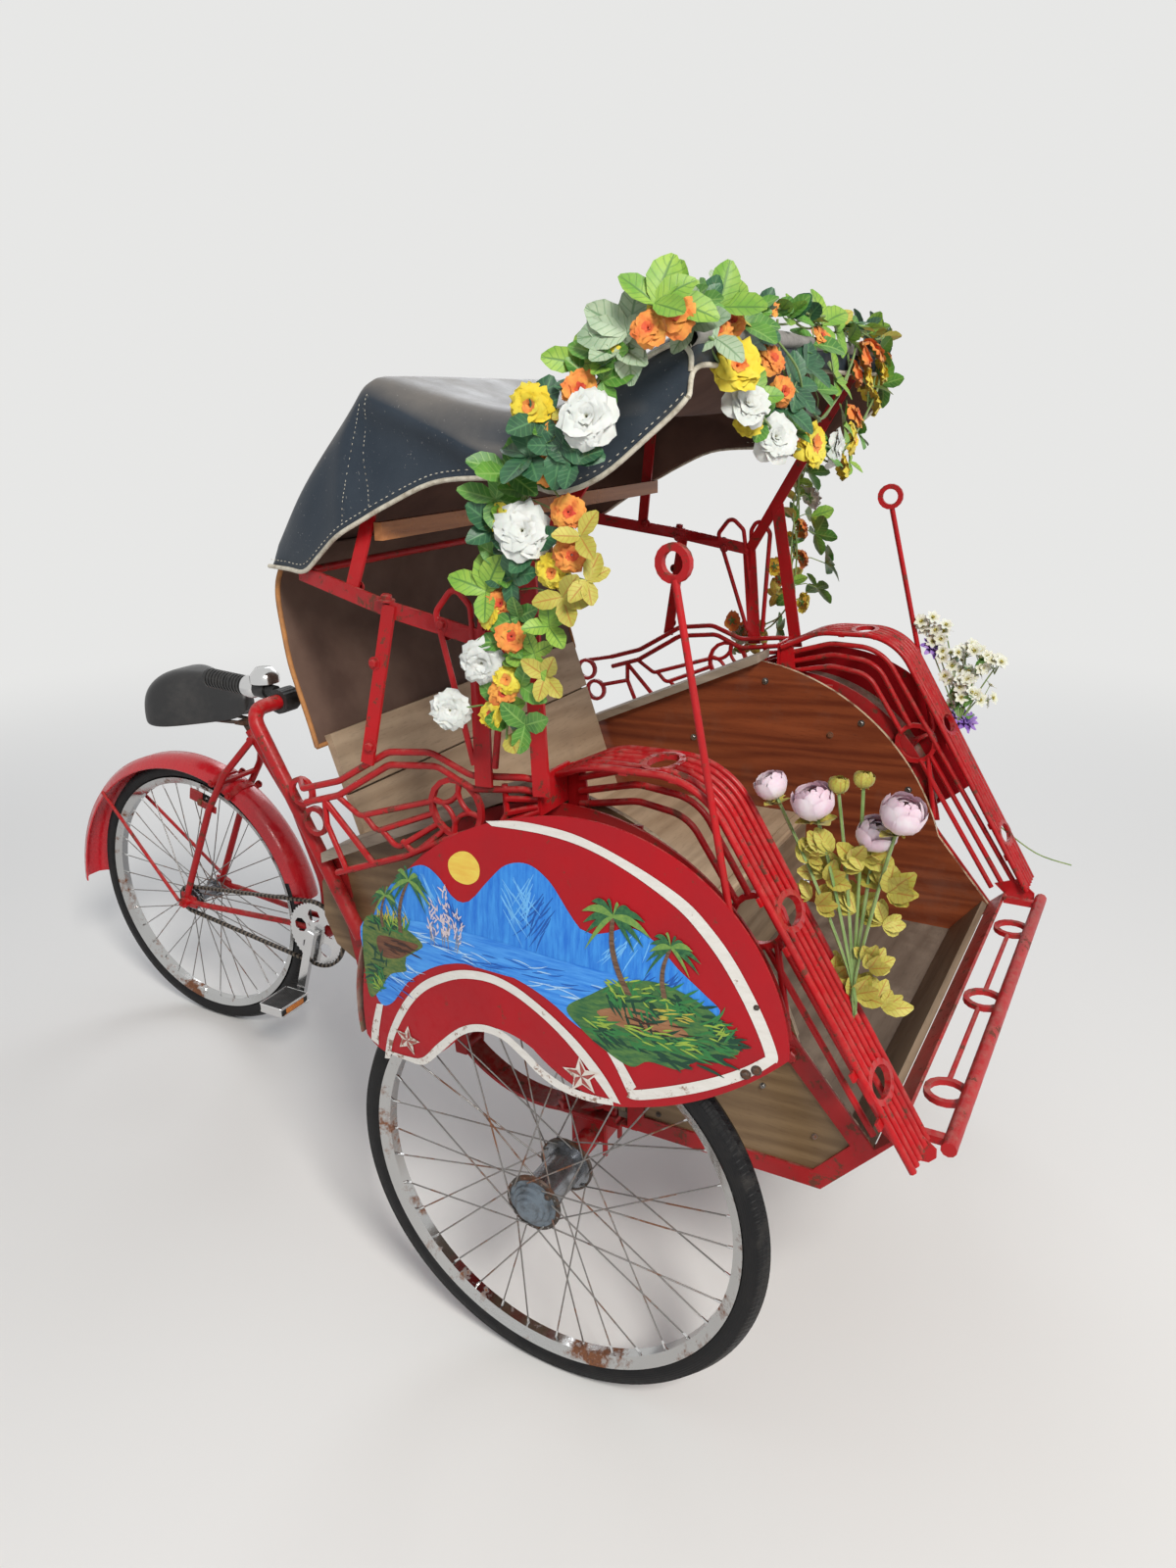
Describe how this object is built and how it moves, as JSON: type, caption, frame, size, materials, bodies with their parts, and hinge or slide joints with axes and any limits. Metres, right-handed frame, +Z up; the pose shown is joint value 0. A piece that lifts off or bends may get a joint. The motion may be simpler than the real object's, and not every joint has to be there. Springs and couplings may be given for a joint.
{
  "type": "cycle_rickshaw",
  "caption": "Red cycle rickshaw with a cabin between its front wheels, painted side skirts, bright bent-rod rails, folding hood, and a pedalled rear wheel with saddle",
  "frame": {"origin": "On the floor under the middle of the vehicle's bounding box.", "axes": "+Z up, the cabin's open front and bumper face -Y, the rear wheel and saddle are towards +Y, +X is the vehicle's left side."},
  "size_m": [1.259, 2.3493, 1.6409],
  "materials": {
    "red_iron": "old red paint, worn and dusty",
    "red_sheet": "red paint with white lines, dusty",
    "dusty_sheet": "red paint under dust and moss",
    "dark_iron": "dark oily iron",
    "plywood": "varnished plywood, scuffed",
    "slat_wood": "orange brown varnished slat",
    "red_rod": "red paint, worn to rust in specks",
    "flowers": "cloth blossoms in yellow, orange, pink and white with green leaves",
    "hood_cloth": "black vinyl, dusty, with white piping",
    "curtain_cloth": "brown cloth with a tan edge",
    "tyre_rubber": "dusty black rubber",
    "rim_chrome": "chrome with rust patches",
    "spoke_steel": "dull steel",
    "hub_grey": "grey paint, greasy",
    "chrome": "polished",
    "black_rubber": "ribbed, worn",
    "black_leather": "worn black cover"
  },
  "bodies": {
    "cabin": {"cabin_frame": "red_iron", "front_axle": "red_iron", "springs": "dark_iron", "side_panel_left": "plywood", "side_panel_right": "plywood", "floor_board": "plywood", "slope_board": "plywood", "seat_board": "plywood", "seat_riser": "plywood", "backrest": "plywood", "arm_boards": "plywood", "mudguard_left": "dusty_sheet", "mudguard_right": "dusty_sheet", "skirt_left": "red_sheet", "skirt_right": "red_sheet", "guard_hoops": "red_iron", "bow_rail_left": "red_rod", "bow_rail_right": "red_rod", "arm_rail_left": "red_rod", "arm_rail_right": "red_rod", "bumper": "red_rod", "eye_rods": "red_rod", "hood_irons": "red_rod", "hood_slat": "slat_wood", "hood_canopy": "hood_cloth", "hood_curtain": "curtain_cloth", "handle_hoop": "red_rod", "handle_grip": "black_rubber", "bell": "chrome", "garland": "flowers", "posy_left": "flowers", "posy_right": "flowers"},
    "front_wheel_left": {"tyre_left": "tyre_rubber", "rim_left": "rim_chrome", "spokes_left": "spoke_steel", "hub_left": "hub_grey"},
    "front_wheel_right": {"tyre_right": "tyre_rubber", "rim_right": "rim_chrome", "spokes_right": "spoke_steel", "hub_right": "hub_grey"},
    "rear_fork": {"rear_frame": "red_iron", "rear_mudguard": "red_sheet", "guard_stays": "red_rod", "saddle": "black_leather", "saddle_rails": "dark_iron", "chain": "dark_iron"},
    "rear_wheel": {"tyre_rear": "tyre_rubber", "rim_rear": "rim_chrome", "spokes_rear": "spoke_steel", "hub_rear": "hub_grey"},
    "cranks": {"crank": "chrome"},
    "pedal_left": {"pedal_left": "black_rubber"},
    "pedal_right": {"pedal_right": "black_rubber"}
  },
  "joints": [
    {"name": "front_wheel_left_axle", "type": "hinge", "parent": "cabin", "child": "front_wheel_left", "pos_m": [0.5575, -0.60327, 0.355], "axis": [1, 0, 0], "continuous": true},
    {"name": "front_wheel_right_axle", "type": "hinge", "parent": "cabin", "child": "front_wheel_right", "pos_m": [-0.5575, -0.60327, 0.355], "axis": [1, 0, 0], "continuous": true},
    {"name": "steering_kingpin", "type": "hinge", "parent": "cabin", "child": "rear_fork", "pos_m": [0, -0.45327, 0.45], "axis": [0, 0, 1], "range_deg": [-40, 40]},
    {"name": "rear_wheel_axle", "type": "hinge", "parent": "rear_fork", "child": "rear_wheel", "pos_m": [0, 0.74273, 0.345], "axis": [1, 0, 0], "continuous": true},
    {"name": "crank_axle", "type": "hinge", "parent": "rear_fork", "child": "cranks", "pos_m": [0, 0.33673, 0.34], "axis": [1, 0, 0], "continuous": true},
    {"name": "pedal_left_spindle", "type": "hinge", "parent": "cranks", "child": "pedal_left", "pos_m": [0.118, 0.28574, 0.49692], "axis": [1, 0, 0], "continuous": true},
    {"name": "pedal_right_spindle", "type": "hinge", "parent": "cranks", "child": "pedal_right", "pos_m": [-0.118, 0.38772, 0.18308], "axis": [1, 0, 0], "continuous": true}
  ]
}
